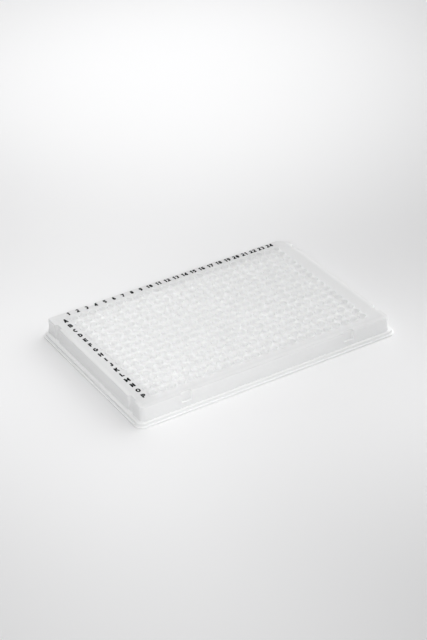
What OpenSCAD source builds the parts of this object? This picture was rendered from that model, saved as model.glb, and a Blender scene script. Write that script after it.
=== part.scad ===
// Well plate with conical wells in a grid: one moulding with a full skirt.
// Millimetres, +Z up. +X runs along the long side, towards the last column of wells.
// Row A is at the back (+Y), row P at the front (-Y), column 1 at the left (-X).
// The origin is the middle of the footprint, on the floor.

/* [Base flange] */
// Length of the base flange, along X
base_l = 127.76; // [127.5:0.02:128]
// Width of the base flange, along Y
base_w = 85.48; // [85.2:0.02:85.7]
// Corner radius of the base flange
base_r = 3.7; // [3.2:0.1:4.2]
// Height of the outer lip
lip_h = 0.75; // [0.6:0.05:0.9]
// Width of the lip, from the flange edge in to the step
lip_run = 0.8; // [0.7:0.05:0.9]
// Height of the ledge at the foot of the side walls
ledge_z = 2.0; // [1.9:0.1:2.3]

/* [Deck and side walls] */
// Height of the deck over the floor
deck_z = 8.7; // [8.4:0.1:9.2]
// Thickness of the deck
deck_t = 1.0; // [0.9:0.1:1.2]
// Thickness of the side walls
wall_t = 1.1; // [1.0:0.05:1.2]
// Distance from the flange edge in to the short walls
inset_x = 2.7; // [2.5:0.1:2.9]
// Distance from the flange edge in to the long walls
inset_y = 2.05; // [1.95:0.05:2.2]
// Corner radius of the walls at the two front corners
wall_r = 2.2; // [1.8:0.1:2.4]
// Corner radius of the walls at A1, the sharper corner
wall_r_a1 = 1.0; // [0.8:0.1:1.4]
// Broken edge around the deck
edge_c = 0.3; // [0.2:0.05:0.4]
// Fillet where the walls meet the ledge
foot_c = 0.35; // [0.2:0.05:0.45]
// Length along X of the cut corner behind the last column
cut_x = 4.6; // [4.2:0.1:5]
// Length along Y of the cut corner behind the last column
cut_y = 4.2; // [3.8:0.1:4.6]

/* [Grip grooves and pockets] */
// Distance of the grooves in the short walls from the middle, along Y
groove_y = 31.8; // [31.5:0.1:32.1]
// Width of a groove at the face of the wall
groove_w = 4.6; // [4.2:0.1:5]
// Depth of a groove at the deck
groove_d = 1.3; // [1.1:0.1:1.4]
// Depth of a groove at the ledge
groove_foot_d = 0.4; // [0.3:0.1:0.6]
// Distance of the pockets in the long walls from the middle, along X
pocket_x = 40.0; // [39.7:0.1:40.3]
// Width of a pocket
pocket_w = 4.7; // [4.4:0.1:5]
// Depth of a pocket
pocket_d = 1.2; // [1.0:0.1:1.3]
// Height of the pocket floor
pocket_z = 4.2; // [4:0.1:4.6]

/* [Wells] */
// Columns of wells, along X
columns = 24; // [12, 24]
// Rows of wells, along Y
rows = 16; // [8, 16]
// Distance between well centres
pitch = 4.5; // [4.4:0.1:4.5]
// Inner diameter of a well at its mouth
mouth_d = 3.15; // [3.05:0.05:3.25]
// Inner diameter of a well at its bottom
tip_d = 0.9; // [0.8:0.1:1.2]
// Wall thickness of a well
well_t = 0.36; // [0.32:0.02:0.38]
// Height of the rim over the deck
rim_h = 0.5; // [0.4:0.05:0.6]
// Draft of the rim, on the diameter
rim_draft = 0.12; // [0.08:0.02:0.16]
// Gap between the wells and the floor
tip_gap = 0.7; // [0.6:0.1:1]

/* [Hidden] */
$fn = 48;
over = 1;                                  // how far a cutter runs past the face it opens
join = 0.2;                                // how far joined solids run into each other
flare = 0.6;                               // slope of a groove's sides, wider towards the face
wall_l = base_l - 2 * inset_x;
wall_w = base_w - 2 * inset_y;
flange_in = lip_run + wall_t;              // flange edge to its inner face
rim_top = deck_z + rim_h;
tip_r = tip_d / 2;
tip_z = tip_gap + well_t;                  // bottom of the wells, inside
rim_d = mouth_d + 2 * well_t;
cut_turn = atan2(cut_x, cut_y);            // turn of the cut corner's normal from +X
cut_dist = (cut_y * (wall_l / 2 - cut_x) + cut_x * wall_w / 2) / norm([cut_x, cut_y]);

// Section of a bar: from x0 to x1, height h, its top edges broken by c. The left edge stays square if asked.
module bar_section(x0, x1, h, c, square_left = false)
  polygon([[x0, 0], [x1, 0], [x1, h - c], [x1 - c, h], [x0 + (square_left ? 0 : c), h],
           [x0, h - (square_left ? 0 : c)]]);

// Block with broken top edges, the A24 corner cut off at cut_d from the middle,
// and rounded A1 (ra) and front (rf) corners.
module block(l, w, h, c, ra, rf, cut_d) {
  corners = [[-1, 1, ra], [-1, -1, rf], [1, -1, rf]];
  difference() {
    intersection() {
      rotate([90, 0, 90]) translate([0, 0, -l / 2 - over]) linear_extrude(l + 2 * over)
        bar_section(-w / 2, w / 2, h, c);
      rotate([90, 0, 0]) translate([0, 0, -w / 2 - over]) linear_extrude(w + 2 * over)
        bar_section(-l / 2, l / 2, h, c);
      rotate([0, 0, cut_turn]) rotate([90, 0, 0]) translate([0, 0, -l]) linear_extrude(2 * l)
        bar_section(-l, cut_d, h, c, square_left = true);
    }
    for (k = corners)
      translate([k[0] * l / 2 - (k[0] < 0 ? over : k[2]), k[1] * w / 2 - (k[1] < 0 ? over : k[2]), -over])
        cube([k[2] + over, k[2] + over, h + 2 * over]);
  }
  for (k = corners) translate([k[0] * (l / 2 - k[2]), k[1] * (w / 2 - k[2]), 0]) {
    cylinder(r = k[2], h = h - c);
    if (c > 0) translate([0, 0, h - c]) cylinder(r1 = k[2], r2 = k[2] - c, h = c);
  }
}

// Rounded slab for the flange: all four corners are round and its top edge is broken by c.
module slab(l, w, h, c, r) {
  for (t = [[l - 2 * r, w, 0], [w - 2 * r, l, 90]])
    rotate([0, 0, t[2]]) rotate([90, 0, 90]) translate([0, 0, -t[0] / 2]) linear_extrude(t[0])
      bar_section(-t[1] / 2, t[1] / 2, h, c);
  for (sx = [-1, 1], sy = [-1, 1]) translate([sx * (l / 2 - r), sy * (w / 2 - r), 0]) {
    cylinder(r = r, h = h - c);
    translate([0, 0, h - c]) cylinder(r1 = r, r2 = r - c, h = c);
  }
}

// Outside of the moulding, without its wells: lip, step, foot of the walls, walls and deck.
module outside() {
  slab(base_l, base_w, lip_h, lip_h / 5, base_r);
  slab(base_l - 2 * lip_run, base_w - 2 * lip_run, ledge_z, lip_h / 4, base_r - lip_run);
  block(wall_l + 2 * foot_c, wall_w + 2 * foot_c, ledge_z + foot_c + join, foot_c + join,
        wall_r_a1 + foot_c, wall_r + foot_c, cut_dist + foot_c);
  block(wall_l, wall_w, deck_z, edge_c, wall_r_a1, wall_r, cut_dist);
}

// Hollow underside: inside of the walls up to the deck, and the wider inside of the flange.
module hollow() {
  r_in = wall_r / 2;
  translate([0, 0, -over]) {
    block(wall_l - 2 * wall_t, wall_w - 2 * wall_t, deck_z - deck_t + over, edge_c,
          r_in, r_in, cut_dist - wall_t);
    slab(base_l - 2 * flange_in, base_w - 2 * flange_in, ledge_z - wall_t + over, edge_c, base_r / 2);
  }
}

// Groove cutter at the short wall on +X: wide at the face, deep at the deck and shallow at the ledge.
module groove() intersection() {
  linear_extrude(deck_z + over)
    polygon([for (k = [[over, -1], [-groove_d - over, -1], [-groove_d - over, 1], [over, 1]])
             [wall_l / 2 + k[0], k[1] * (groove_w / 2 + flare * k[0])]]);
  rotate([90, 0, 0]) translate([0, 0, -groove_w]) linear_extrude(2 * groove_w)
    polygon([[wall_l / 2 + over, ledge_z], [wall_l / 2 - groove_foot_d, ledge_z],
             [wall_l / 2 - groove_d, deck_z], [wall_l / 2 - groove_d, deck_z + over],
             [wall_l / 2 + over, deck_z + over]]);
}

// Thicker wall inside, behind a groove at the short wall on +X.
module groove_back()
  translate([wall_l / 2 - groove_d - wall_t, -groove_w / 2 - wall_t / 2, ledge_z - wall_t])
    cube([groove_d + wall_t / 2, groove_w + wall_t, deck_z - deck_t + join - ledge_z + wall_t]);

// Pocket cutter at the long wall on +Y.
module pocket()
  translate([-pocket_w / 2, wall_w / 2 - pocket_d, pocket_z])
    cube([pocket_w, pocket_d + over, deck_z + over - pocket_z]);

// Thicker wall inside, behind and under a pocket at the long wall on +Y.
module pocket_back()
  translate([-pocket_w / 2 - wall_t, wall_w / 2 - pocket_d - wall_t, pocket_z - wall_t])
    cube([pocket_w + 2 * wall_t, pocket_d + wall_t / 2, deck_z - deck_t + join - pocket_z + wall_t]);

// A child drawn for +X, put at all four grooves.
module at_grooves() for (turn = [0, 180], s = [-1, 1])
  rotate([0, 0, turn]) translate([0, s * groove_y, 0]) children();

// A child drawn for +Y, put at all four pockets.
module at_pockets() for (turn = [0, 180], s = [-1, 1])
  rotate([0, 0, turn]) translate([s * pocket_x, 0, 0]) children();

// A child put at every well.
module at_wells() for (c = [0 : columns - 1], r = [0 : rows - 1])
  translate([(c - (columns - 1) / 2) * pitch, ((rows - 1) / 2 - r) * pitch, 0]) children();

// Outside of one well: drafted rim over the deck, and the cone under it.
module well_outside() {
  under = deck_z - deck_t + join;
  translate([0, 0, under]) cylinder(d1 = rim_d + rim_draft, d2 = rim_d, h = rim_top - under);
  translate([0, 0, tip_gap])
    cylinder(r1 = tip_r + well_t, r2 = rim_d / 2 - join / 2, h = under + join - tip_gap);
}

// Inside of one well: a cone with a small flat bottom, open at the rim.
module well_inside() {
  run = (mouth_d / 2 - tip_r) * (rim_top + over - tip_z) / (rim_top - tip_z);
  translate([0, 0, tip_z]) cylinder(r1 = tip_r, r2 = tip_r + run, h = rim_top + over - tip_z);
}

// The whole moulding.
module plate() color([0.92, 0.93, 0.93]) difference() {
  union() {
    difference() {
      union() {
        difference() {
          outside();
          hollow();
        }
        at_grooves() groove_back();
        at_pockets() pocket_back();
      }
      at_grooves() groove();
      at_pockets() pocket();
    }
    at_wells() well_outside();
  }
  at_wells() well_inside();
}

plate();
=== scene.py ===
"""Looks of a well plate: one clear-natural moulding with printed row letters and column numbers.

The plate is rebuilt as one closed skin with rounded edges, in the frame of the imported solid, and the
print lies on its deck as thin ink. Lengths are millimetres except where a class says metres, and every
mesh is made in metres.
"""

from __future__ import annotations

import logging
import math
from dataclasses import dataclass, field
from enum import Enum
from typing import Iterable, Sequence

import bmesh
import bpy
from mathutils import Matrix, Vector
from mathutils.geometry import delaunay_2d_cdt


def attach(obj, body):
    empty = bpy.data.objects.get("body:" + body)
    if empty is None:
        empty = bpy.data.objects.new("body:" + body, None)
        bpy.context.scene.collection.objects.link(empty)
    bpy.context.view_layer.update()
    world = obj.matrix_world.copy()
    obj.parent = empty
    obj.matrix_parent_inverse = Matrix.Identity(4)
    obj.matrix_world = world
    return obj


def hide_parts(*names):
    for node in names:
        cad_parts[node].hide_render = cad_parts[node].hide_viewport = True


LOG = logging.getLogger("well_plate")
Point = tuple[float, float]
Triple = tuple[float, float, float]
Loop = list[Point]
Socket = bpy.types.NodeSocket

MM = 0.001
# Shares of a length: what a rounding may use of a side, and where a corner's middle point lies.
ROOM_SHARE = 0.45
BEND = 0.3
# A rounding shorter than this is none, numbers nearer than this are equal, points nearer are one.
NO_REACH = 1e-7
SAME_NUMBER = 1e-6
SAME_SPOT = 1e-5
# Distances in metres: what is welded, and the shortest edge that stays.
WELD_M = 2e-6
SHORTEST_M = 1e-7


# --------------------------------------------------------------------------------------------------
# Helpers for outlines and skins
# --------------------------------------------------------------------------------------------------


def arc(centre: Point, radius: float, start: float, turn: float, steps: int) -> Loop:
    """Points along an arc.

    Args:
        centre: Middle of the arc.
        radius: Its radius.
        start: Angle of the first point, in degrees.
        turn: Angle from the first point to the last, in degrees.
        steps: How many chords the arc gets.

    Returns:
        The points, both ends included.
    """
    angles = [math.radians(start + turn * i / steps) for i in range(steps + 1)]
    return [(centre[0] + radius * math.cos(a), centre[1] + radius * math.sin(a)) for a in angles]


def softened(before: Point, corner: Point, after: Point, radius: float, steps: int) -> Loop:
    """A corner of an outline, rounded, always with the same number of points.

    Args:
        before: The point that comes before the corner.
        corner: The sharp corner.
        after: The point that comes after it.
        radius: Distance from the corner at which the rounding starts, held to the sides' room.
        steps: How many chords the rounding gets.

    Returns:
        The rounded corner's points. They fall together where the sides have no length.
    """
    a, b, c = Vector(before), Vector(corner), Vector(after)
    room = ROOM_SHARE * min((a - b).length, (c - b).length)
    reach = min(radius, room)
    if reach < NO_REACH:
        return [corner] * (steps + 1)
    start, end = b + (a - b).normalized() * reach, b + (c - b).normalized() * reach
    points = []
    for i in range(steps + 1):
        t = i / steps
        p = start * (1 - t) ** 2 + b * 2 * t * (1 - t) + end * t**2
        points.append((p.x, p.y))
    return points


def inside(point: Point, loop: Loop) -> bool:
    """Whether a point lies inside an outline.

    Args:
        point: The point.
        loop: The outline.

    Returns:
        True if it lies inside.
    """
    hit = False
    for (x0, y0), (x1, y1) in zip(loop, loop[1:] + loop[:1]):
        if (y0 > point[1]) != (y1 > point[1]):
            if point[0] < x0 + (point[1] - y0) * (x1 - x0) / (y1 - y0):
                hit = not hit
    return hit


class Skin:
    """Points and faces of one closed surface, gathered in millimetres and then welded."""

    def __init__(self) -> None:
        """Starts with no points and no faces."""
        self.points: list[Triple] = []
        self.faces: list[tuple[int, ...]] = []

    def ring(self, loop: Iterable[Point], z: float) -> list[int]:
        """Adds a level outline.

        Args:
            loop: Its points.
            z: Its height.

        Returns:
            The numbers of the added points.
        """
        first = len(self.points)
        self.points.extend((x, y, z) for x, y in loop)
        return list(range(first, len(self.points)))

    def bridge(self, low: Sequence[int], high: Sequence[int]) -> None:
        """Joins two rings of as many points by a band of quads.

        Args:
            low: The first ring.
            high: The second ring.
        """
        count = len(low)
        self.faces.extend(
            (low[i], low[(i + 1) % count], high[(i + 1) % count], high[i]) for i in range(count)
        )

    def loft(self, levels: Sequence[tuple[Loop, float]]) -> list[list[int]]:
        """Bridges a stack of outlines.

        Args:
            levels: Outlines with their heights, in order.

        Returns:
            The rings, in the same order.
        """
        rings = [self.ring(loop, z) for loop, z in levels]
        for low, high in zip(rings, rings[1:]):
            self.bridge(low, high)
        return rings

    def fan(self, ring: Sequence[int], z: float) -> None:
        """Closes a ring by a fan round its middle.

        Args:
            ring: The ring.
            z: Height of the middle.
        """
        x = sum(self.points[i][0] for i in ring) / len(ring)
        y = sum(self.points[i][1] for i in ring) / len(ring)
        (middle,) = self.ring([(x, y)], z)
        self.faces.extend((ring[i], ring[(i + 1) % len(ring)], middle) for i in range(len(ring)))

    def web(self, outer: Sequence[int], inner: Sequence[int]) -> None:
        """Fills the level strip between two rings that have different points.

        Args:
            outer: The ring round it.
            inner: The ring that it goes round.
        """
        z = self.points[outer[0]][2]
        flat: list[Vector] = []
        edges: list[tuple[int, int]] = []
        for ring in (outer, inner):
            loop = [self.points[i][:2] for i in ring]
            kept = [p for i, p in enumerate(loop) if math.dist(p, loop[i - 1]) > SAME_SPOT]
            first = len(flat)
            flat.extend(Vector(p) for p in kept)
            edges.extend((first + i, first + (i + 1) % len(kept)) for i in range(len(kept)))
        hole = [self.points[i][:2] for i in inner]
        rim = [self.points[i][:2] for i in outer]
        spots, _, cells, *_ = delaunay_2d_cdt(flat, edges, [], 1, SAME_NUMBER)
        ids = self.ring([(p.x, p.y) for p in spots], z)
        for cell in cells:
            x = sum(spots[i].x for i in cell) / len(cell)
            y = sum(spots[i].y for i in cell) / len(cell)
            if inside((x, y), rim) and not inside((x, y), hole):
                self.faces.append(tuple(ids[i] for i in cell))

    def stamp(self, other: "Skin", places: Iterable[Point]) -> None:
        """Adds copies of another skin.

        Args:
            other: The skin to copy.
            places: Where its origin goes.
        """
        for x, y in places:
            first = len(self.points)
            self.points.extend((p[0] + x, p[1] + y, p[2]) for p in other.points)
            self.faces.extend(tuple(first + i for i in face) for face in other.faces)

    def to_object(self, name: str, crease: float) -> bpy.types.Object:
        """Welds the skin and makes an object of it, smooth across its fillets.

        Args:
            name: The object's name.
            crease: Edges that turn by more than this many degrees stay sharp.

        Returns:
            The object, linked to the scene.
        """
        mesh = bpy.data.meshes.new(name)
        mesh.from_pydata([(x * MM, y * MM, z * MM) for x, y, z in self.points], [], self.faces)
        bm = bmesh.new()
        bm.from_mesh(mesh)
        bmesh.ops.remove_doubles(bm, verts=bm.verts, dist=WELD_M)
        bmesh.ops.dissolve_degenerate(bm, edges=bm.edges, dist=SHORTEST_M)
        bmesh.ops.recalc_face_normals(bm, faces=bm.faces)
        for face in bm.faces:
            face.smooth = True
        limit = math.radians(crease)
        for edge in bm.edges:
            edge.smooth = len(edge.link_faces) == 2 and edge.calc_face_angle(0.0) < limit
        open_edges = sum(len(edge.link_faces) != 2 for edge in bm.edges)
        if open_edges:
            LOG.warning("%s has %d edges without two faces", name, open_edges)
        bm.to_mesh(mesh)
        bm.free()
        obj = bpy.data.objects.new(name, mesh)
        bpy.context.scene.collection.objects.link(obj)
        weigh_normals(obj)
        return obj


def weigh_normals(obj: bpy.types.Object) -> None:
    """Turns an object's normals towards its large faces, so that narrow fillets shade as round ones.

    Args:
        obj: The object, whose mesh is replaced by the result.
    """
    modifier = obj.modifiers.new("weighted", "WEIGHTED_NORMAL")
    modifier.mode = "FACE_AREA"
    modifier.weight = 50
    modifier.keep_sharp = True
    seen = obj.evaluated_get(bpy.context.evaluated_depsgraph_get())
    done = bpy.data.meshes.new_from_object(seen)
    done.name = obj.data.name
    obj.modifiers.clear()
    obj.data = done


# --------------------------------------------------------------------------------------------------
# Finishes
# --------------------------------------------------------------------------------------------------


class NodeBench:
    """A node tree under construction: adds nodes and joins them."""

    first_x: int = -1400
    step_x: int = 190
    step_y: int = -60
    rows: int = 5

    def __init__(self, owner: bpy.types.Material | bpy.types.World) -> None:
        """Starts with an empty node tree.

        Args:
            owner: The material or the world that the tree belongs to.
        """
        owner.use_nodes = True
        self.tree = owner.node_tree
        self.tree.nodes.clear()
        self.column = 0

    def add(self, kind: str, **values: object) -> bpy.types.Node:
        """Adds a node.

        Args:
            kind: The node's type name, without ShaderNode.
            **values: Socket values by name, with underscores for blanks, or the node's own properties.

        Returns:
            The node.
        """
        node = self.tree.nodes.new("ShaderNode" + kind)
        node.location = (self.first_x + self.step_x * self.column, self.step_y * (self.column % self.rows))
        self.column += 1
        sockets = {s.name.replace(" ", "_"): s for s in reversed(node.inputs)}
        for key, value in values.items():
            if key in sockets:
                sockets[key].default_value = value
            else:
                setattr(node, key, value)
        return node

    def join(self, out: Socket, into: Socket) -> None:
        """Links two sockets.

        Args:
            out: The output.
            into: The input.
        """
        self.tree.links.new(out, into)

    def split(self, vector: Socket) -> bpy.types.Node:
        """Takes a vector apart.

        Args:
            vector: The vector.

        Returns:
            A node with the outputs X, Y and Z.
        """
        node = self.add("SeparateXYZ")
        self.join(vector, node.inputs["Vector"])
        return node

    def calc(self, operation: str, *values: Socket | float) -> Socket:
        """Works out a number.

        Args:
            operation: What to do with the values.
            *values: Sockets or constants.

        Returns:
            The result.
        """
        node = self.add("Math", operation=operation)
        for value, into in zip(values, node.inputs):
            if isinstance(value, Socket):
                self.join(value, into)
            else:
                into.default_value = value
        return node.outputs["Value"]

    def product(self, first: Socket, *others: Socket) -> Socket:
        """Multiplies numbers.

        Args:
            first: The first number.
            *others: The others.

        Returns:
            Their product.
        """
        for other in others:
            first = self.calc("MULTIPLY", first, other)
        return first

    def ramp(self, number: Socket, ends: Point, values: Point = (0.0, 1.0)) -> Socket:
        """Turns a number that runs between two ends into one that runs between two values.

        Args:
            number: The number.
            ends: Where the ramp starts and ends.
            values: The result at and before the start, and at and past the end.

        Returns:
            The result.
        """
        low, high = ends
        first, last = values
        node = self.add("MapRange", From_Min=low, From_Max=high, To_Min=first, To_Max=last)
        self.join(number, node.inputs["Value"])
        return node.outputs["Result"]

    def noise(self, place: Socket, scale: float, detail: float, roughness: float) -> Socket:
        """Adds clouds.

        Args:
            place: Where a point lies.
            scale: How many clouds come to a metre.
            detail: How many finer layers they have.
            roughness: How strong the finer layers are.

        Returns:
            The clouds' share, from 0 to 1.
        """
        node = self.add("TexNoise", Scale=scale, Detail=detail, Roughness=roughness)
        self.join(place, node.inputs["Vector"])
        return node.outputs["Fac"]

    def tones(self, share: Socket, ends: Point, low: Triple, high: Triple) -> Socket:
        """Runs from one colour to another.

        Args:
            share: The number that decides.
            ends: Where the first colour ends and the second starts.
            low: The first colour.
            high: The second colour.

        Returns:
            The colour.
        """
        node = self.add("ValToRGB")
        for element, position, tone in zip(node.color_ramp.elements, ends, (low, high)):
            element.position = position
            element.color = (*tone, 1.0)
        self.join(share, node.inputs["Fac"])
        return node.outputs["Color"]

    def relief(self, height: Socket, strength: float, depth_mm: float) -> Socket:
        """Tilts the surface by a fine relief.

        Args:
            height: The relief's height, from 0 to 1.
            strength: How much of it shows.
            depth_mm: How deep it is.

        Returns:
            The tilted normal.
        """
        node = self.add("Bump", Strength=strength, Distance=depth_mm * MM)
        self.join(height, node.inputs["Height"])
        return node.outputs["Normal"]

    def blend(self, share: Socket, first: Socket, second: Socket) -> Socket:
        """Mixes two shaders.

        Args:
            share: The second one's share.
            first: The first shader.
            second: The second shader.

        Returns:
            The mixture.
        """
        node = self.add("MixShader")
        for out, into in zip((share, first, second), node.inputs):
            self.join(out, into)
        return node.outputs["Shader"]


def in_metres(ends: Point) -> Point:
    """Turns a pair of lengths in millimetres into metres."""
    return ends[0] * MM, ends[1] * MM


@dataclass(frozen=True)
class NaturalPolypropylene:
    """Translucent, unfilled polypropylene, straight from the mould: milky, with a soft gloss.

    Clearness is the share of light that goes straight through. It differs between the thin wells, the
    walls round them and the flange. The ledge and lip over the solid flange keep only part of it and turn
    milkier, and so do the pockets' floors and cheeks: there it is painted light that makes them lighter,
    as they are no thicker than the walls. Pairs with a place in them say where such a change starts and
    ends, from the plate's middle or from the floor.
    """

    tint: Triple = (0.995, 0.996, 0.997)
    cloud: Triple = (0.985, 0.987, 0.988)
    roughness: float = 0.11
    smoother: float = 0.05
    rougher: float = 0.06
    milkiness: float = 0.6
    # Milkiness where the mask is 1: for the solid flange, and painted light that whitens the pockets.
    solid_milkiness: float = 0.82
    dimming: float = 45.0
    refraction: float = 1.49
    well_clearness: float = 0.3
    wall_clearness: float = 0.22
    flange_clearness: float = 0.06
    # Share of the clearness kept where the mask is 1: for the solid flange, and painted light on the
    # pockets.
    solid_share: float = 0.2
    opaque_gloss: float = 0.5
    flow_size_mm: float = 14.0
    flow_stretch: Triple = (1.0, 1.6, 1.0)
    flow_detail: float = 4.0
    flow_contrast: float = 0.55
    flow_ends: Point = (0.3, 0.7)
    texture_mm: float = 0.35
    texture_detail: float = 3.0
    texture_contrast: float = 0.6
    texture_strength: float = 0.12
    texture_depth_mm: float = 0.02
    short_walls_x: Point = (58.6, 60.0)
    long_walls_y: Point = (38.1, 39.5)
    flange_top_z: Point = (1.95, 2.4)
    below_deck_z: Point = (8.6, 8.3)
    pockets_x: Point = (50.0, 46.0)
    pockets_y: Point = (38.9, 39.3)
    square_on: Point = (0.6, 0.9)

    def build(self) -> bpy.types.Material:
        """Builds the material.

        Returns:
            The material, with flow clouds in its colour and a fine mould texture in its gloss.
        """
        material = bpy.data.materials.new("natural_polypropylene")
        bench = NodeBench(material)
        out = bench.add("OutputMaterial")
        place = bench.add("TexCoord")
        stretch = bench.add("Mapping")
        stretch.inputs["Scale"].default_value = self.flow_stretch
        bench.join(place.outputs["Object"], stretch.inputs["Vector"])
        flow_scale = 1.0 / (self.flow_size_mm * MM)
        clouds = bench.noise(stretch.outputs["Vector"], flow_scale, self.flow_detail, self.flow_contrast)
        colour = bench.tones(clouds, self.flow_ends, self.cloud, self.tint)
        gloss_ends = (self.roughness - self.smoother, self.roughness + self.rougher)
        gloss = bench.ramp(clouds, self.flow_ends, gloss_ends)
        grain_scale = 1.0 / (self.texture_mm * MM)
        grain = bench.noise(
            place.outputs["Object"], grain_scale, self.texture_detail, self.texture_contrast
        )
        normal = bench.relief(grain, self.texture_strength, self.texture_depth_mm)
        shell = bench.add("BsdfPrincipled")
        shell.inputs["IOR"].default_value = self.refraction
        bench.join(colour, shell.inputs["Base Color"])
        bench.join(gloss, shell.inputs["Roughness"])
        bench.join(normal, shell.inputs["Normal"])
        glow = bench.add("BsdfTranslucent")
        bench.join(colour, glow.inputs["Color"])
        bench.join(normal, glow.inputs["Normal"])
        clear = bench.add("BsdfTransparent")
        clearness, solid = self.zones(bench, place)
        # The mask makes the plastic milkier: solid plastic on the flange, painted light on the pockets'
        # faces.
        passed_on = bench.ramp(solid, (0.0, 1.0), (1.0 - self.milkiness, 1.0 - self.solid_milkiness))
        milk = bench.blend(passed_on, shell.outputs["BSDF"], glow.outputs["BSDF"])
        skin = bench.blend(clearness, milk, clear.outputs["BSDF"])
        bench.join(skin, out.inputs["Surface"])
        depth = bench.add("VolumeAbsorption", Density=self.dimming)
        depth.inputs["Color"].default_value = (0.0, 0.0, 0.0, 1.0)
        bench.join(depth.outputs["Volume"], out.inputs["Volume"])
        return material

    def zones(self, bench: NodeBench, place: bpy.types.Node) -> tuple[Socket, Socket]:
        """How clear the plastic is, and where it is solid.

        Args:
            bench: The material under construction.
            place: Its texture coordinates.

        Returns:
            The clearness, which is lower where the surface is seen edgeways, and a number that is 1 on
            the flange's ledge and lip, which lie over solid plastic, and on the pockets' floors and
            cheeks, where it is painted light that makes them lighter.
        """
        parts = bench.split(place.outputs["Object"])
        ways = bench.split(place.outputs["Normal"])
        across = bench.calc("ABSOLUTE", parts.outputs["X"])
        along = bench.calc("ABSOLUTE", parts.outputs["Y"])
        up = parts.outputs["Z"]
        walls = bench.calc(
            "MAXIMUM",
            bench.ramp(across, in_metres(self.short_walls_x)),
            bench.ramp(along, in_metres(self.long_walls_y)),
        )
        upper = bench.ramp(walls, (0.0, 1.0), (self.well_clearness, self.wall_clearness))
        flange_share = self.flange_clearness / self.wall_clearness
        flange = bench.add("Mix", data_type="FLOAT")
        flange.inputs["A"].default_value = 1.0
        bench.join(walls, flange.inputs["Factor"])
        bench.join(bench.ramp(up, in_metres(self.flange_top_z), (flange_share, 1.0)), flange.inputs["B"])
        mirror = bench.add("Fresnel", IOR=self.refraction)
        facing = bench.ramp(mirror.outputs["Fac"], (0.0, self.opaque_gloss), (1.0, 0.0))
        # Level faces near the walls below the deck: the ledge and lip over solid plastic, and the pockets'
        # floors, made lighter as painted light.
        flat = bench.product(
            bench.ramp(bench.calc("ABSOLUTE", ways.outputs["Z"]), self.square_on),
            bench.ramp(up, in_metres(self.below_deck_z)),
            walls,
        )
        # Painted light: the pockets' side faces are made more opaque and milkier, so they come out
        # lighter, though the wall there is no thicker.
        pocket_cheek_painted_light = bench.product(
            bench.ramp(bench.calc("ABSOLUTE", ways.outputs["X"]), self.square_on),
            bench.ramp(across, in_metres(self.pockets_x)),
            bench.ramp(along, in_metres(self.pockets_y)),
        )
        # The mask: solid plastic on the flange, painted light on the pockets.
        solid = bench.calc("MAXIMUM", flat, pocket_cheek_painted_light)
        thin = bench.ramp(solid, (0.0, 1.0), (1.0, self.solid_share))
        return bench.product(upper, flange.outputs["Result"], facing, thin), solid


@dataclass(frozen=True)
class PadPrintedInk:
    """Matt black pad-printing ink, a little thin and uneven."""

    deep: Triple = (0.004, 0.004, 0.005)
    thin: Triple = (0.015, 0.015, 0.016)
    roughness: float = 0.7
    gloss: float = 0.1
    specks_per_m: float = 2600.0
    speck_detail: float = 4.0
    speck_contrast: float = 0.7
    speck_ends: Point = (0.45, 0.75)
    relief: float = 0.25
    relief_mm: float = 0.01

    def build(self) -> bpy.types.Material:
        """Builds the material.

        Returns:
            The material.
        """
        material = bpy.data.materials.new("pad_printed_ink")
        bench = NodeBench(material)
        out = bench.add("OutputMaterial")
        place = bench.add("TexCoord").outputs["Object"]
        specks = bench.noise(place, self.specks_per_m, self.speck_detail, self.speck_contrast)
        film = bench.add("BsdfPrincipled", Roughness=self.roughness)
        film.inputs["Specular IOR Level"].default_value = self.gloss
        bench.join(bench.tones(specks, self.speck_ends, self.deep, self.thin), film.inputs["Base Color"])
        bench.join(bench.relief(specks, self.relief, self.relief_mm), film.inputs["Normal"])
        bench.join(film.outputs["BSDF"], out.inputs["Surface"])
        return material


@dataclass(frozen=True)
class StudioPaper:
    """Matt pale paper for the floor."""

    tone: Triple = (0.86, 0.86, 0.865)
    roughness: float = 0.8
    gloss: float = 0.2

    def build(self) -> bpy.types.Material:
        """Builds the material.

        Returns:
            The material.
        """
        material = bpy.data.materials.new("studio_paper")
        bench = NodeBench(material)
        out = bench.add("OutputMaterial")
        paper = bench.add("BsdfPrincipled", Roughness=self.roughness)
        paper.inputs["Base Color"].default_value = (*self.tone, 1.0)
        paper.inputs["Specular IOR Level"].default_value = self.gloss
        bench.join(paper.outputs["BSDF"], out.inputs["Surface"])
        return material


# --------------------------------------------------------------------------------------------------
# The moulding
# --------------------------------------------------------------------------------------------------


class Side(Enum):
    """The four sides of the plate, seen from above, with the angle of the way along each."""

    FRONT = 0
    RIGHT = 90
    BACK = 180
    LEFT = 270


@dataclass(frozen=True)
class Notch:
    """A recess in a wall's outline: half its width at the face, and how much narrower it gets inwards.

    Its corners are rounded by edge at the face and by root at the bottom, and beyond is how much of the
    wall on either side steers the rounding.
    """

    along: float
    half: float
    flare: float = 0.0
    edge: float = 0.16
    root: float = 0.22
    chords: int = 2
    beyond: float = 1.0

    def path(self, depth: float, inwards: float) -> Loop:
        """The recess as (along the wall, into the wall) points, always as many.

        Args:
            depth: How deep it goes here.
            inwards: How far the whole outline is moved into the wall.

        Returns:
            The points, in order along the wall.
        """
        wide, narrow = self.half + inwards, self.half - self.flare * depth + inwards
        low, high = inwards, inwards + depth
        corners = [(-wide, low), (-narrow, high), (narrow, high), (wide, low)]
        ends = [(-wide - self.beyond, low), *corners, (wide + self.beyond, low)]
        points: Loop = []
        for i, corner in enumerate(corners):
            radius = min(self.edge if i in (0, 3) else self.root, depth * ROOM_SHARE)
            points += softened(ends[i], corner, ends[i + 2], radius, self.chords)
        return [(self.along + u, v) for u, v in points]


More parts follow.
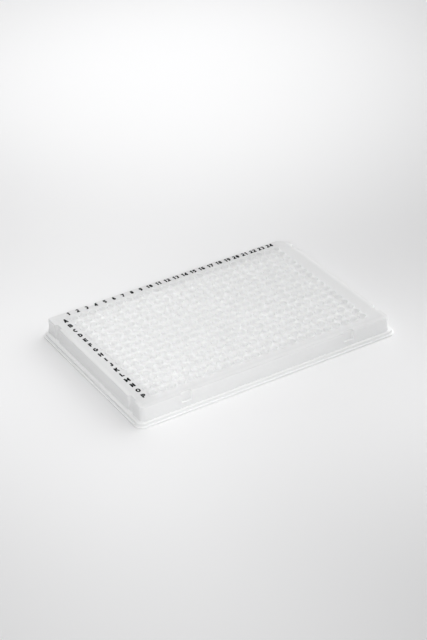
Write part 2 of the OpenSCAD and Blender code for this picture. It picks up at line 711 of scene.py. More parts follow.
def both_sides(along: float, half: float, flare: float = 0.0) -> tuple[Notch, ...]:
    """The same recess on both sides of a wall's middle.

    Args:
        along: How far from the middle it lies.
        half: Half its width at the face.
        flare: How much narrower it gets inwards.

    Returns:
        The two recesses.
    """
    return tuple(Notch(side * along, half, flare) for side in (-1, 1))


@dataclass(frozen=True)
class WallOutline:
    """Outline of the walls: two round front corners, a sharper A1 corner and the cut A24 corner."""

    length: float
    width: float
    front_r: float
    a1_r: float
    cut_x: float
    cut_y: float
    grooves: tuple[Notch, ...]
    pockets: tuple[Notch, ...]
    corner_steps: int = 8
    cut_r: float = 0.45
    cut_steps: int = 4

    def loop(self, groove_depth: float, pocket_depth: float, inwards: float = 0.0) -> Loop:
        """The outline at one level.

        Args:
            groove_depth: Depth of the grooves in the short walls.
            pocket_depth: Depth of the pockets in the long walls.
            inwards: How far the outline is moved inwards; below zero it moves outwards.

        Returns:
            Points in counter-clockwise order, as many at every level.
        """
        hx, hy = self.length / 2, self.width / 2
        points: Loop = []
        for side in Side:
            if side in (Side.FRONT, Side.BACK):
                notches, depth, reach = self.pockets, pocket_depth, hy
            else:
                notches, depth, reach = self.grooves, groove_depth, hx
            turn = Matrix.Rotation(math.radians(side.value), 2)
            for notch in sorted(notches, key=lambda n: n.along):
                path = notch.path(depth, inwards)
                points += [tuple(turn @ Vector((u, v - reach))) for u, v in path]
            points += self.corner(side, hx, hy, inwards)
        return points

    def corner(self, side: Side, hx: float, hy: float, inwards: float) -> Loop:
        """The corner that follows a side.

        Args:
            side: The side.
            hx: Half the length.
            hy: Half the width.
            inwards: How far the outline is moved inwards.

        Returns:
            The corner's points.
        """
        r, a1 = self.front_r, self.a1_r
        if side is Side.FRONT:
            return arc((hx - r, -hy + r), r - inwards, -90, 90, self.corner_steps)
        if side is Side.RIGHT:
            across = math.hypot(self.cut_x, self.cut_y)
            depth = self.cut_x * self.cut_y / across
            share = 1 + inwards * (1 - (self.cut_x + self.cut_y) / across) / depth
            hx, hy = hx - inwards, hy - inwards
            start, end = (hx, hy - self.cut_y * share), (hx - self.cut_x * share, hy)
            points = softened((hx, 0.0), start, end, self.cut_r, self.cut_steps)
            return points + softened(start, end, (0.0, hy), self.cut_r, self.cut_steps)
        if side is Side.BACK:
            return arc((-hx + a1, hy - a1), a1 - inwards, 90, 90, self.corner_steps)
        return arc((-hx + r, -hy + r), r - inwards, 180, 90, self.corner_steps)


@dataclass(frozen=True)
class RoundedOutline:
    """Outline of the flange, with four round corners."""

    length: float
    width: float
    radius: float
    corner_steps: int = 10
    least_r: float = 0.05

    def loop(self, inwards: float) -> Loop:
        """The outline, moved inwards.

        Args:
            inwards: How far it moves in from the full size.

        Returns:
            Points in counter-clockwise order, as many for every distance.
        """
        hx, hy = self.length / 2 - inwards, self.width / 2 - inwards
        r = max(self.radius - inwards, self.least_r)
        middles = [(hx - r, -hy + r), (hx - r, hy - r), (-hx + r, hy - r), (-hx + r, -hy + r)]
        points: Loop = []
        for i, middle in enumerate(middles):
            points += arc(middle, r, 90 * i - 90, 90, self.corner_steps)
        return points


def rounding(radius: float, steps: int) -> list[Point]:
    """How far in and how far down a rounded top edge lies.

    Args:
        radius: Radius of the edge.
        steps: How many chords it gets.

    Returns:
        (inwards, below the top) pairs from the side up to the top.
    """
    angles = [math.pi / 2 * i / steps for i in range(steps + 1)]
    return [(radius * (1 - math.cos(a)), radius * (1 - math.sin(a))) for a in angles]


@dataclass(frozen=True)
class WellGrid:
    """The wells: raised rims over the deck, thin cones under it.

    The mouth's edge goes lead_in of its height outwards. Seen from below, a cone's outside is aimed at a
    point that lies aim_up over the ceiling and aim_in inside the rim. The gap is what the tips keep from
    the floor.
    """

    columns: int = 24
    rows: int = 16
    pitch: float = 4.5
    mouth_d: float = 3.15
    bottom_d: float = 0.9
    wall: float = 0.36
    rim_z: float = 9.2
    deck_z: float = 8.7
    ceiling_z: float = 7.7
    rim_foot_r: float = 1.958
    rim_top_r: float = 1.935
    edge: float = 0.10
    foot: float = 0.12
    lead_in: float = 0.8
    aim_up: float = 0.4
    aim_in: float = 0.1
    gap: float = 0.7
    top_sides: int = 24
    under_sides: int = 16

    def places(self) -> list[Point]:
        """Middles of the wells.

        Returns:
            One point for each well, row by row from A1.
        """
        return [
            ((c - (self.columns - 1) / 2) * self.pitch, ((self.rows - 1) / 2 - r) * self.pitch)
            for r in range(self.rows)
            for c in range(self.columns)
        ]

    def column_x(self, column: int) -> float:
        """X of a column, counted from 1."""
        return (column - 1 - (self.columns - 1) / 2) * self.pitch

    def row_y(self, row: int) -> float:
        """Y of a row, counted from 1 for row A."""
        return ((self.rows - 1) / 2 - (row - 1)) * self.pitch

    def cell(self, sides: int) -> Loop:
        """Outline of one well's square of deck.

        Args:
            sides: How many points it gets.

        Returns:
            Points at even angles on the square.
        """
        half = self.pitch / 2
        points: Loop = []
        for i in range(sides):
            a = 2 * math.pi * i / sides
            scale = half / max(abs(math.cos(a)), abs(math.sin(a)))
            points.append((round(scale * math.cos(a), 7), round(scale * math.sin(a), 7)))
        return points

    def border(self, sides: int) -> Loop:
        """Outline of the whole grid, with the points that the cells have on it.

        Args:
            sides: How many points each cell has.

        Returns:
            Points in counter-clockwise order.
        """
        half = self.pitch / 2
        marks = sorted({y for x, y in self.cell(sides) if abs(x - half) < SAME_NUMBER})
        hx, hy = self.columns * half, self.rows * half
        points: Loop = []
        for n, reach, turn in (
            (self.columns, hy, 0),
            (self.rows, hx, 90),
            (self.columns, hy, 180),
            (self.rows, hx, 270),
        ):
            spin = Matrix.Rotation(math.radians(turn), 2)
            for k in range(n):
                middle = (k - (n - 1) / 2) * self.pitch
                points += [tuple(spin @ Vector((middle + m, -reach))) for m in marks[:-1]]
        return points

    @staticmethod
    def circle(radius: float, sides: int) -> Loop:
        """A level circle round the well's middle.

        Args:
            radius: Its radius.
            sides: How many points it gets.

        Returns:
            Points at even angles, none of them twice.
        """
        return arc((0.0, 0.0), radius, 0, 360 * (sides - 1) / sides, sides - 1)

    def stack(self, sides: int, cell_z: float, circles: Sequence[tuple[float, float]]) -> Skin:
        """One well seen from one side: its square of deck or ceiling, and the circles below or above.

        Args:
            sides: How many points each outline gets.
            cell_z: Height of the square.
            circles: Radius and height of each circle, the closed end last.

        Returns:
            The well's skin on that side.
        """
        skin = Skin()
        levels = [(self.cell(sides), cell_z)]
        levels += [(self.circle(radius, sides), z) for radius, z in circles]
        skin.fan(skin.loft(levels)[-1], circles[-1][1])
        return skin

    def top(self) -> Skin:
        """One well from above.

        Returns:
            Its deck, its rim and its inside.
        """
        mouth, bottom = self.mouth_d / 2, self.bottom_d / 2
        floor_z = self.gap + self.wall
        slope = (mouth - bottom) / (self.rim_z - self.gap - self.wall)
        half = self.edge * math.sqrt(0.5)
        edge_z = self.rim_z - self.edge
        circles = [
            (self.rim_foot_r + self.foot, self.deck_z),
            (self.rim_foot_r, self.deck_z + self.foot),
            (self.rim_top_r, edge_z),
            (self.rim_top_r - self.edge + half, edge_z + half),
            (self.rim_top_r - self.edge, self.rim_z),
            (mouth + self.lead_in * self.edge, self.rim_z),
            (mouth - slope * self.edge, edge_z),
            (bottom, floor_z),
        ]
        return self.stack(self.top_sides, self.deck_z, circles)

    def under(self) -> Skin:
        """One well from below.

        Returns:
            Its ceiling and its outside.
        """
        low_r = self.bottom_d / 2 + self.wall
        aim_z, aim_r = self.ceiling_z + self.aim_up, self.rim_top_r - self.aim_in
        root_r = low_r + (aim_r - low_r) * (self.ceiling_z - self.gap) / (aim_z - self.gap)
        circles = [(root_r, self.ceiling_z), (low_r, self.gap)]
        return self.stack(self.under_sides, self.ceiling_z, circles)


@dataclass(frozen=True)
class MouldedPlate:
    """The plate: flange with its lip, walls with grooves and pockets, deck and wells, in one skin."""

    base_l: float = 127.76
    base_w: float = 85.48
    base_r: float = 3.7
    base_edge: float = 0.08
    lip_h: float = 0.75
    lip_run: float = 0.8
    lip_edge: float = 0.15
    step_root: float = 0.06
    step_edge: float = 0.1875
    ledge_z: float = 2.0
    wall_t: float = 1.1
    inset_x: float = 2.7
    inset_y: float = 2.05
    wall_r: float = 2.2
    a1_r: float = 1.0
    cut_x: float = 4.6
    cut_y: float = 4.2
    edge: float = 0.3
    foot: float = 0.35
    groove_y: float = 31.8
    groove_w: float = 4.6
    groove_d: float = 1.3
    groove_foot_d: float = 0.4
    groove_flare: float = 0.6
    pocket_x: float = 40.0
    pocket_w: float = 4.7
    pocket_d: float = 1.2
    pocket_z: float = 4.2
    pocket_edge: float = 0.12
    pocket_root: float = 0.2
    edge_steps: int = 3
    hidden_steps: int = 2
    hidden_corner_steps: int = 5
    sharp_deg: float = 50.0
    wells: WellGrid = field(default_factory=WellGrid)
    finish: NaturalPolypropylene = field(default_factory=NaturalPolypropylene)

    @property
    def deck_z(self) -> float:
        """Height of the deck."""
        return self.wells.deck_z

    @property
    def wall_l(self) -> float:
        """Length over the short walls."""
        return self.base_l - 2 * self.inset_x

    @property
    def wall_w(self) -> float:
        """Width over the long walls."""
        return self.base_w - 2 * self.inset_y

    def outer_walls(self) -> WallOutline:
        """Outline of the walls' outside.

        Returns:
            The outline, with grooves in the short walls and pockets in the long ones.
        """
        return WallOutline(
            self.wall_l,
            self.wall_w,
            self.wall_r,
            self.a1_r,
            self.cut_x,
            self.cut_y,
            both_sides(self.groove_y, self.groove_w / 2, self.groove_flare),
            both_sides(self.pocket_x, self.pocket_w / 2),
        )

    def inner_walls(self) -> WallOutline:
        """Outline of the walls' inside.

        Returns:
            The outline, with the places behind the grooves and the pockets further in.
        """
        t = self.wall_t
        side = math.hypot(self.cut_x, self.cut_y)
        reach = (self.cut_y * (self.wall_l / 2 - self.cut_x) + self.cut_x * self.wall_w / 2) / side - t
        hx, hy = self.wall_l / 2 - t, self.wall_w / 2 - t
        cut_y = hy - (reach * side - self.cut_y * hx) / self.cut_x
        cut_x = hx - (reach * side - self.cut_x * hy) / self.cut_y
        return WallOutline(
            2 * hx,
            2 * hy,
            self.wall_r / 2,
            self.wall_r / 2,
            cut_x,
            cut_y,
            both_sides(self.groove_y, self.groove_w / 2 + t / 2),
            both_sides(self.pocket_x, self.pocket_w / 2 + t),
            self.hidden_corner_steps,
        )

    def groove_at(self, z: float) -> float:
        """Depth of the grooves at a height."""
        share = (z - self.ledge_z) / (self.deck_z - self.ledge_z)
        return self.groove_foot_d + (self.groove_d - self.groove_foot_d) * share

    def add_flange(self, skin: Skin) -> tuple[list[int], list[int]]:
        """Adds the flange from its inner edge over the floor and the lip to the ledge.

        Args:
            skin: The skin that it goes into.

        Returns:
            The ring at the ledge, and the ring at the top of the flange's inner face.
        """
        outer = RoundedOutline(self.base_l, self.base_w, self.base_r)
        inner_in, inner_top = self.lip_run + self.wall_t, self.ledge_z - self.wall_t
        inner = RoundedOutline(
            self.base_l - 2 * inner_in, self.base_w - 2 * inner_in, self.base_r / 2
        )
        levels = [
            (inner.loop(self.edge), inner_top),
            (inner.loop(0), inner_top - self.edge),
            (inner.loop(0), 0.0),
            (outer.loop(self.base_edge), 0.0),
            (outer.loop(BEND * self.base_edge), BEND * self.base_edge),
            (outer.loop(0), self.base_edge),
        ]
        for inwards, down in rounding(self.lip_edge, self.edge_steps):
            levels.append((outer.loop(inwards), self.lip_h - down))
        levels += [
            (outer.loop(self.lip_run - self.step_root), self.lip_h),
            (outer.loop(self.lip_run), self.lip_h + self.step_root),
        ]
        for inwards, down in rounding(self.step_edge, self.edge_steps):
            levels.append((outer.loop(self.lip_run + inwards), self.ledge_z - down))
        rings = skin.loft(levels)
        return rings[-1], rings[0]

    def add_walls(self, skin: Skin) -> tuple[list[int], list[int]]:
        """Adds the outside of the walls, from the ledge to the deck.

        Args:
            skin: The skin that it goes into.

        Returns:
            The ring at the ledge and the ring at the deck.
        """
        walls = self.outer_walls()
        levels: list[tuple[Loop, float]] = []

        def level(z: float, pocket: float, inwards: float) -> None:
            """Adds one outline to the stack."""
            levels.append((walls.loop(self.groove_at(z), pocket, inwards), z))

        # Known fault: the foot swells over the ledge, where the solid's foot widens towards the ledge.
        # A true fillet would have -inwards as the last value here.
        for inwards, down in reversed(rounding(self.foot, self.edge_steps)):
            level(self.ledge_z + down, 0.0, inwards - self.foot)
        sill, soft, root = self.pocket_z, self.pocket_edge, self.pocket_root
        level(sill - soft, 0.0, 0.0)
        level(sill - BEND * soft, BEND * soft, 0.0)
        level(sill, soft, 0.0)
        level(sill, self.pocket_d - root, 0.0)
        level(sill + BEND * root, self.pocket_d - BEND * root, 0.0)
        level(sill + root, self.pocket_d, 0.0)
        for inwards, down in rounding(self.edge, self.edge_steps):
            level(self.deck_z - down, self.pocket_d, inwards)
        rings = skin.loft(levels)
        return rings[0], rings[-1]

    def add_inside(self, skin: Skin) -> tuple[list[int], list[int]]:
        """Adds the inside of the walls, from the flange to the ceiling.

        Args:
            skin: The skin that it goes into.

        Returns:
            The ring at the flange and the ring at the ceiling.
        """
        walls = self.inner_walls()
        low, ceiling = self.ledge_z - self.wall_t, self.wells.ceiling_z
        sill = self.pocket_z - self.wall_t
        levels = [
            (walls.loop(self.groove_d, 0.0), low),
            (walls.loop(self.groove_d, 0.0), sill),
            (walls.loop(self.groove_d, self.pocket_d), sill),
        ]
        for inwards, down in rounding(self.edge, self.hidden_steps):
            levels.append((walls.loop(self.groove_d, self.pocket_d, inwards), ceiling - down))
        rings = skin.loft(levels)
        return rings[0], rings[-1]

    def build(self) -> bpy.types.Object:
        """Builds the plate.

        Returns:
            The plate as one closed, smooth mesh.
        """
        skin, wells = Skin(), self.wells
        ledge_edge, flange_top = self.add_flange(skin)
        wall_foot, deck_edge = self.add_walls(skin)
        cavity_foot, cavity_top = self.add_inside(skin)
        grid_top = skin.ring(wells.border(wells.top_sides), self.deck_z)
        grid_under = skin.ring(wells.border(wells.under_sides), wells.ceiling_z)
        skin.web(ledge_edge, wall_foot)
        skin.web(deck_edge, grid_top)
        skin.web(cavity_top, grid_under)
        skin.web(flange_top, cavity_foot)
        skin.stamp(wells.top(), wells.places())
        skin.stamp(wells.under(), wells.places())
        return skin.to_object("plate_moulding", self.sharp_deg)

    def dress(self, obj: bpy.types.Object) -> None:
        """Gives the plate its finish and its place in the frame.

        Args:
            obj: The plate.
        """
        obj.data.materials.clear()
        obj.data.materials.append(self.finish.build())
        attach(obj, "root")
        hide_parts("plate")


# --------------------------------------------------------------------------------------------------
# The print
# --------------------------------------------------------------------------------------------------


class Glyphs:
    """Plain upright characters, drawn as strokes in a box one unit high.

    Their points are shares of the height, so they stay the same at every size.
    """

    widths: dict[str, float] = {
        "1": 0.42,
        "C": 0.74,
        "E": 0.6,
        "F": 0.58,
        "G": 0.76,
        "J": 0.52,
        "L": 0.56,
        "M": 0.84,
        "O": 0.78,
    }
    digit_width: float = 0.58
    letter_width: float = 0.7
    middle: float = 0.5
    chord_deg: int = 20
    least_chords: int = 4
    gentle_bend: float = 0.5

    def __init__(self, stroke: float) -> None:
        """Sets the weight.

        Args:
            stroke: Width of a stroke, as a share of the height.
        """
        self.stroke = stroke
        self.low, self.high, self.left = stroke / 2, 1 - stroke / 2, stroke / 2

    def width(self, mark: str) -> float:
        """Width of a character.

        Args:
            mark: The character.

        Returns:
            Its width, as a share of the height.
        """
        if mark == "I":
            return self.stroke
        return self.widths.get(mark, self.letter_width if mark.isalpha() else self.digit_width)

    def bowl(self, x: float, y: float, rx: float, ry: float, start: float, turn: float) -> Loop:
        """Part of an oval.

        Args:
            x: Its middle, along.
            y: Its middle, up.
            rx: Its half width.
            ry: Its half height.
            start: Angle of the first point, in degrees.
            turn: Angle to the last point, in degrees.

        Returns:
            The points.
        """
        chords = max(self.least_chords, round(abs(turn) / self.chord_deg))
        return [(x + rx * px, y + ry * py) for px, py in arc((0.0, 0.0), 1.0, start, turn, chords)]

    def strokes(self, mark: str) -> list[Loop]:
        """The strokes of a character.

        Args:
            mark: A digit, or a letter from A to P.

        Returns:
            The strokes, each a line of points.
        """
        return self.letter(mark) if mark.isalpha() else self.digit(mark)

    def digit(self, mark: str) -> list[Loop]:
        """The strokes of a digit.

        Args:
            mark: The digit.

        Returns:
            The strokes, each a line of points.
        """
        w, s, lo, hi, le, mid = self.width(mark), self.stroke, self.low, self.high, self.left, self.middle
        ri, cx, rx, ry = w - s / 2, w / 2, (w - s) / 2, (hi - lo) / 2
        q = (hi - lo) / 4
        big_q, stem_x = q * 1.15, w * 0.70
        made = {
            "0": [self.bowl(cx, mid, rx, ry, 90, 360)],
            "1": [[(s * 0.3, hi - 0.22), (ri, hi + s * 0.1)], [(ri, 0.0), (ri, 1.0)]],
            "2": [[*self.bowl(cx, hi - big_q, rx, big_q, 165, -205), (le, lo), (w, lo)]],
            "3": [self.bowl(cx, hi - q, rx, q, 160, -250), self.bowl(cx, lo + q, rx, q, 90, -250)],
            "4": [
                [(w, 0.27), (le * 0.8, 0.27), (w * 0.68, 1 - s * 0.3)],
                [(stem_x, 0.0), (stem_x, 1.0)],
            ],
            "5": [
                [
                    (w - s * 0.2, hi),
                    (le + 0.05, hi),
                    (le, mid + 0.06),
                    *self.bowl(cx, lo + q * 1.2, rx, q * 1.2, 120, -270),
                ]
            ],
            "6": [
                self.bowl(cx, lo + big_q, rx, big_q, 90, 360),
                [*self.bowl(cx, mid, rx, ry, 50, 130), (le, lo + big_q)],
            ],
            "7": [[(0.0, hi), (w - s * 0.4, hi), (w * 0.34, 0.0)]],
            "8": [
                self.bowl(cx, hi - q * 0.95, rx * 0.92, q * 0.95, 90, 360),
                self.bowl(cx, lo + q * 1.05, rx, q * 1.05, 90, 360),
            ],
            "9": [
                self.bowl(cx, hi - big_q, rx, big_q, 90, 360),
                [*self.bowl(cx, mid, rx, ry, 230, 130), (ri, hi - big_q)],
            ],
        }
        return made[mark]

    def letter(self, mark: str) -> list[Loop]:
        """The strokes of a letter.

        Args:
            mark: A letter from A to P.

        Returns:
            The strokes, each a line of points.
        """
        w, s, lo, hi, le, mid = self.width(mark), self.stroke, self.low, self.high, self.left, self.middle
        ri, cx, rx, ry = w - s / 2, w / 2, (w - s) / 2, (hi - lo) / 2
        q = (hi - lo) / 4
        big_q, p_x, d_x = q * 1.1, w * 0.52, w * 0.42
        stem, far_stem = [(le, 0.0), (le, 1.0)], [(ri, 0.0), (ri, 1.0)]
        middle_arm = [(le, mid), (w * 0.93, mid)]
        made = {
            "A": [
                [(s * 0.4, 0.0), (cx, hi + s * 0.2), (w - s * 0.4, 0.0)],
                [(w * 0.2, 0.3), (w * 0.8, 0.3)],
            ],
            "B": [
                stem,
                [(le, hi), *self.bowl(p_x, hi - q, rx * 0.78, q, 90, -180), (le, mid)],
                [(le, mid), *self.bowl(w * 0.55, lo + q, rx * 0.86, q, 90, -180), (le, lo)],
            ],
            "C": [self.bowl(cx, mid, rx, ry, 45, 270)],
            "D": [stem, [(le, hi), *self.bowl(d_x, mid, ri - d_x, ry, 90, -180), (le, lo)]],
            "E": [[(w, hi), (le, hi), (le, lo), (w, lo)], middle_arm],
            "F": [[(w, hi), (le, hi), (le, 0.0)], middle_arm],
            "G": [[*self.bowl(cx, mid, rx, ry, 45, 290), (ri, mid - 0.02), (cx, mid - 0.02)]],
            "H": [stem, far_stem, [(le, mid), (ri, mid)]],
            "I": [stem],
            "J": [[(ri, 1.0), (ri, lo + 0.22), *self.bowl(cx, lo + 0.22, rx, 0.22, 0, -180)]],
            "K": [
                stem,
                [(w - s * 0.3, 1.0), (le, mid - 0.08)],
                [(le + 0.18, mid + 0.06), (w - s * 0.3, 0.0)],
            ],
            "L": [[(le, 1.0), (le, lo), (w, lo)]],
            "M": [stem, far_stem, [(le, hi), (cx, 0.28)], [(cx, 0.28), (ri, hi)]],
            "N": [stem, far_stem, [(le, hi), (ri, lo)]],
            "O": [self.bowl(cx, mid, rx, ry, 90, 360)],
            "P": [
                stem,
                [
                    (le, hi),
                    *self.bowl(p_x, hi - big_q, ri - p_x, big_q, 90, -180),
                    (le, hi - q * 2.2),
                ],
            ],
        }
        return made[mark]

    def bar_end(
        self, at: Vector, way: Vector, other: Vector | None, out: float
    ) -> tuple[Vector, Vector]:
        """The two corners of a bar at one of its ends.

        Args:
            at: The end's middle.
            way: Which way the bar goes.
            other: Which way the bar beyond the end goes, if there is one.
            out: Which way along the bar leads out of it: -1 at its start, 1 at its end.

        Returns:
            The right and the left corner.
        """
        half = self.stroke / 2
        side = Vector((-way.y, way.x))
        if other is None:
            return at - side * half, at + side * half
        bend = way.dot(other)
        if bend > self.gentle_bend:
            miter = (side + Vector((-other.y, other.x))) / (1 + bend) * half
            return at - miter, at + miter
        at = at + way * out * half * min(1.0, math.sqrt((1 - bend) / max(1 + bend, SAME_NUMBER)))
        return at - side * half, at + side * half

    def bars(self, line: Loop) -> list[Loop]:
        """A stroke as four-cornered bars, mitred where it bends gently and squared where it turns.

        Args:
            line: The stroke's points.

        Returns:
            One outline for each length of the stroke.
        """
        closed = math.dist(line[0], line[-1]) < SAME_NUMBER
        points = [Vector(p) for p in line]
        ways = [(b - a).normalized() for a, b in zip(points, points[1:])]
        made: list[Loop] = []
        for i, way in enumerate(ways):
            before = ways[i - 1] if i > 0 or closed else None
            after = ways[(i + 1) % len(ways)] if i < len(ways) - 1 or closed else None
            right_a, left_a = self.bar_end(points[i], way, before, -1.0)
            right_b, left_b = self.bar_end(points[i + 1], way, after, 1.0)
            made.append([tuple(right_a), tuple(right_b), tuple(left_b), tuple(left_a)])
        return made


@dataclass(frozen=True)
class GridPrint:
    """Row letters and column numbers, printed on the deck.

    Stroke and spacing are shares of a character's height. The letters stand a little above the middle of
    their rows, and the numbers a little to the left of their columns.
    """

    deck_z: float
    film: float = 0.02
    clearance: float = 0.001
    letter_h: float = 2.65
    number_h: float = 2.42
    stroke: float = 0.27
    spacing: float = 0.16
    letters_x: float = -55.65
    letters_lift: float = 0.7
    numbers_y: float = 38.85
    numbers_shift: float = -0.2
    finish: PadPrintedInk = field(default_factory=PadPrintedInk)

    def word(self, text: str, height: float, middle: Point) -> list[list[Loop]]:
        """A short word, set round its middle.

        Args:
            text: Its characters.
            height: Their height.
            middle: Where the word's middle goes.

        Returns:
            For each character, the bars that it is made of.
        """
        glyphs = Glyphs(self.stroke)
        total = sum(glyphs.width(mark) for mark in text) + self.spacing * (len(text) - 1)
        x = -total / 2
        made: list[list[Loop]] = []
        for mark in text:
            bars = [bar for line in glyphs.strokes(mark) for bar in glyphs.bars(line)]
            made.append(
                [
                    [(middle[0] + (x + u) * height, middle[1] + (v - 0.5) * height) for u, v in bar]
                    for bar in bars
                ]
            )
            x += glyphs.width(mark) + self.spacing
        return made

    def add_character(self, bm: bmesh.types.BMesh, bars: list[Loop]) -> None:
        """Adds a character as one thin closed film.

        Args:
            bm: The mesh that it goes into.
            bars: The bars that it is made of, which may overlap.
        """
        flat = [Vector(p) for bar in bars for p in bar]
        faces = [list(range(4 * i, 4 * i + 4)) for i in range(len(bars))]
        spots, _, cells, _, _, within = delaunay_2d_cdt(flat, [], faces, 1, SAME_SPOT)
        cells = [cell for cell, owners in zip(cells, within) if owners]
        used = sorted({i for cell in cells for i in cell})
        top, low = (self.deck_z + self.film) * MM, (self.deck_z + self.clearance) * MM
        tops = {i: bm.verts.new((spots[i].x * MM, spots[i].y * MM, top)) for i in used}
        lows = {i: bm.verts.new((spots[i].x * MM, spots[i].y * MM, low)) for i in used}
        for cell in cells:
            bm.faces.new([tops[i] for i in cell])
            bm.faces.new([lows[i] for i in reversed(cell)])
        edges = dict.fromkeys(edge for cell in cells for edge in zip(cell, cell[1:] + cell[:1]))
        for a, b in edges:
            if (b, a) not in edges:
                bm.faces.new([tops[b], tops[a], lows[a], lows[b]])

    def block(self, name: str, characters: list[list[Loop]]) -> bpy.types.Object:
        """Makes one piece of a list of characters.

        Args:
            name: The piece's name.
            characters: The bars of each character.

        Returns:
            The piece, a thin closed film for each character.
        """
        bm = bmesh.new()
        for bars in characters:
            self.add_character(bm, bars)
        bmesh.ops.recalc_face_normals(bm, faces=bm.faces)
        mesh = bpy.data.meshes.new(name)
        bm.to_mesh(mesh)
        bm.free()
        obj = bpy.data.objects.new(name, mesh)
        bpy.context.scene.collection.objects.link(obj)
        return obj

    def build(self, wells: WellGrid) -> list[bpy.types.Object]:
        """Builds the letters and the numbers.

        Args:
            wells: The grid that they label.

        Returns:
            The two pieces.
        """
        letters: list[list[Loop]] = []
        for row in range(1, wells.rows + 1):
            middle = (self.letters_x, wells.row_y(row) + self.letters_lift)
            letters += self.word(chr(ord("A") + row - 1), self.letter_h, middle)
        numbers: list[list[Loop]] = []
        for column in range(1, wells.columns + 1):
            middle = (wells.column_x(column) + self.numbers_shift, self.numbers_y)
            numbers += self.word(str(column), self.number_h, middle)
        return [self.block("row_letters", letters), self.block("column_numbers", numbers)]

    def dress(self, pieces: Iterable[bpy.types.Object]) -> None:
        """Gives the print its ink and its place in the frame.

        Args:
            pieces: The letters and the numbers.
        """
        ink = self.finish.build()
        for obj in pieces:
            obj.data.materials.append(ink)
            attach(obj, "root")


# --------------------------------------------------------------------------------------------------
# The studio
# --------------------------------------------------------------------------------------------------


@dataclass(frozen=True)
class Lamp:
    """A light that is aimed at a point. Lengths in metres."""

    name: str
    place: Triple
    aim: Triple

    def hang(self, data: bpy.types.Light) -> bpy.types.Object:
        """Puts a light in its place, turned to its aim and unseen by the camera.

        Args:
            data: The light.

        Returns:
            The light's object.
        """
        obj = bpy.data.objects.new(self.name, data)
        obj.location = self.place
        way = Vector(self.aim) - Vector(self.place)
        obj.rotation_euler = way.to_track_quat("-Z", "Y").to_euler()
        obj.visible_camera = False
        bpy.context.scene.collection.objects.link(obj)
        return obj


@dataclass(frozen=True)
class Softbox(Lamp):
    """A rectangular soft light. Lengths in metres."""

    size: Point
    power: float
    spread_deg: float

    def build(self) -> bpy.types.Object:
        """Builds the light.

        Returns:
            The light's object.
        """
        data = bpy.data.lights.new(self.name, "AREA")
        data.shape = "RECTANGLE"
        data.spread = math.radians(self.spread_deg)
        data.size, data.size_y = self.size
        data.energy = self.power
        return self.hang(data)


@dataclass(frozen=True)
class PoolLight(Lamp):
    """A soft spotlight that brightens a part of the floor or of the plate. Lengths in metres."""

    cone_deg: float
    power: float
    radius: float = 0.08

    def build(self) -> bpy.types.Object:
        """Builds the light.

        Returns:
            The light's object.
        """
        data = bpy.data.lights.new(self.name, "SPOT")
        data.energy = self.power
        data.spot_size = math.radians(self.cone_deg)
        data.spot_blend = 1.0
        data.shadow_soft_size = self.radius
        return self.hang(data)


@dataclass(frozen=True)
class SoftSurround:
    """Even white surroundings whose strength differs by direction, as in a tent with unequal lamps."""

    up: float = 0.32
    right: float = 3.35
    left: float = 0.62
    front: float = 0.21
    falloff: float = 2.0
    tone: Triple = (1.0, 1.0, 1.0)

    def build(self) -> bpy.types.World:
        """Builds the surroundings.

        Returns:
            A world whose strength is the sum of squared cosines to the main directions.
        """
        world = bpy.data.worlds.new("studio_air")
        bench = NodeBench(world)
        out = bench.add("OutputWorld")
        sky = bench.add("Background")
        sky.inputs["Color"].default_value = (*self.tone, 1.0)
        way = bench.split(bench.add("TexCoord").outputs["Generated"])
        total: Socket | float = 0.0
        for axis, sign, gain in (
            ("Z", 1.0, self.up),
            ("X", 1.0, self.right),
            ("X", -1.0, self.left),
            ("Y", -1.0, self.front),
        ):
            towards = bench.calc("MAXIMUM", bench.calc("MULTIPLY", way.outputs[axis], sign), 0.0)
            lobe = bench.calc("POWER", towards, self.falloff)
            total = bench.calc("MULTIPLY_ADD", lobe, gain, total)
        bench.join(total, sky.inputs["Strength"])
        bench.join(sky.outputs["Background"], out.inputs["Surface"])
        return world


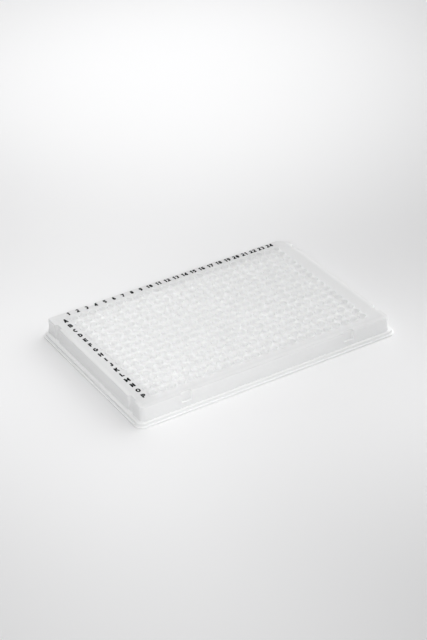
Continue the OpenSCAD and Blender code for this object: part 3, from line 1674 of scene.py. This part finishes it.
@dataclass(frozen=True)
class Studio:
    """Pale floor, soft light and the camera. Lengths in metres."""

    eye: Triple = (-0.347585, -0.584349, 0.440682)
    aim: Triple = (0.004416, 0.011179, 0.0)
    roll_deg: float = -1.91
    lens_mm: float = 105.601
    sensor_mm: float = 36.0
    sight: Point = (0.01, 20.0)
    all_bounces: int = 16
    clear_bounces: int = 32
    soft_bounces: int = 12
    floor_half: float = 6.0
    floor_gap: float = 0.00005
    surround: SoftSurround = field(default_factory=SoftSurround)
    paper: StudioPaper = field(default_factory=StudioPaper)
    lights: tuple[Softbox | PoolLight, ...] = (
        Softbox("light_table", (0.0, 0.0, 0.0004), (0.0, 0.0, 1.0), (0.108, 0.072), 0.0146, 90.0),
        PoolLight("key_front", (-0.45, -0.65, 0.45), (-0.05, -0.05, 0.0), 16.0, 16.5),
        PoolLight("pool_back", (0.397, 0.655, 0.898), (0.11, 0.40, 0.0), 38.2, 9.0),
        PoolLight("pool_centre", (0.115, 0.216, 0.7), (0.115, 0.216, 0.0), 35.0, 6.1),
        PoolLight("pool_left", (-0.095, 0.04, 0.6), (-0.095, 0.04, 0.0), 24.0, 4.2),
        PoolLight("pool_right", (0.08, -0.10, 0.6), (0.08, -0.10, 0.0), 16.0, 6.0),
    )

    def camera(self) -> None:
        """Makes the camera and sets it as the scene's own."""
        data = bpy.data.cameras.new("camera")
        data.sensor_width = self.sensor_mm
        data.sensor_fit = "AUTO"
        data.lens = self.lens_mm
        data.clip_start, data.clip_end = self.sight
        obj = bpy.data.objects.new("camera", data)
        obj.location = self.eye
        look = (Vector(self.aim) - Vector(self.eye)).to_track_quat("-Z", "Y")
        spin = Matrix.Rotation(math.radians(self.roll_deg), 4, "Z")
        obj.rotation_euler = (look.to_matrix().to_4x4() @ spin).to_euler()
        bpy.context.scene.collection.objects.link(obj)
        bpy.context.scene.camera = obj

    def floor(self) -> bpy.types.Object:
        """Makes the floor.

        Returns:
            The floor, just under the plate.
        """
        mesh = bpy.data.meshes.new("studio_floor")
        bm = bmesh.new()
        bmesh.ops.create_grid(bm, x_segments=2, y_segments=2, size=self.floor_half)
        bm.to_mesh(mesh)
        bm.free()
        obj = bpy.data.objects.new("studio_floor", mesh)
        obj.location.z = -self.floor_gap
        obj.data.materials.append(self.paper.build())
        bpy.context.scene.collection.objects.link(obj)
        return obj

    def build(self) -> None:
        """Builds the camera, the floor, the lights and the surroundings."""
        self.camera()
        self.floor()
        for light in self.lights:
            light.build()
        scene = bpy.context.scene
        scene.world = self.surround.build()
        scene.cycles.max_bounces = self.all_bounces
        scene.cycles.transparent_max_bounces = self.clear_bounces
        scene.cycles.diffuse_bounces = self.soft_bounces
        scene.view_settings.view_transform = "Standard"
        scene.view_settings.look = "None"
        scene.view_settings.exposure = 0.0
        scene.view_settings.gamma = 1.0


def report(pieces: Iterable[bpy.types.Object]) -> None:
    """Logs each piece with its number of triangles.

    Args:
        pieces: The pieces.
    """
    for obj in pieces:
        triangles = sum(len(face.vertices) - 2 for face in obj.data.polygons)
        LOG.info("%s: %d triangles", obj.name, triangles)


def main() -> None:
    """Builds the studio, the plate and its print, in that order."""
    logging.basicConfig(level=logging.INFO, format="%(name)s: %(message)s")
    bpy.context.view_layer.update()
    Studio().build()
    plate = MouldedPlate()
    moulding = plate.build()
    plate.dress(moulding)
    report([moulding])
    lettering = GridPrint(deck_z=plate.deck_z)
    printed = lettering.build(plate.wells)
    lettering.dress(printed)
    report(printed)


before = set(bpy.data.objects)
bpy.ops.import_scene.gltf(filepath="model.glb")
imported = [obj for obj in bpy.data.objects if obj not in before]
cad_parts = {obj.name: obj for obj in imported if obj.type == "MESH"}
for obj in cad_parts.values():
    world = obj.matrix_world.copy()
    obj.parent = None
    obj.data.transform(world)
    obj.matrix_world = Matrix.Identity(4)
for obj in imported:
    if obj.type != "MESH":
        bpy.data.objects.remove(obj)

if __name__ == "__main__":
    main()
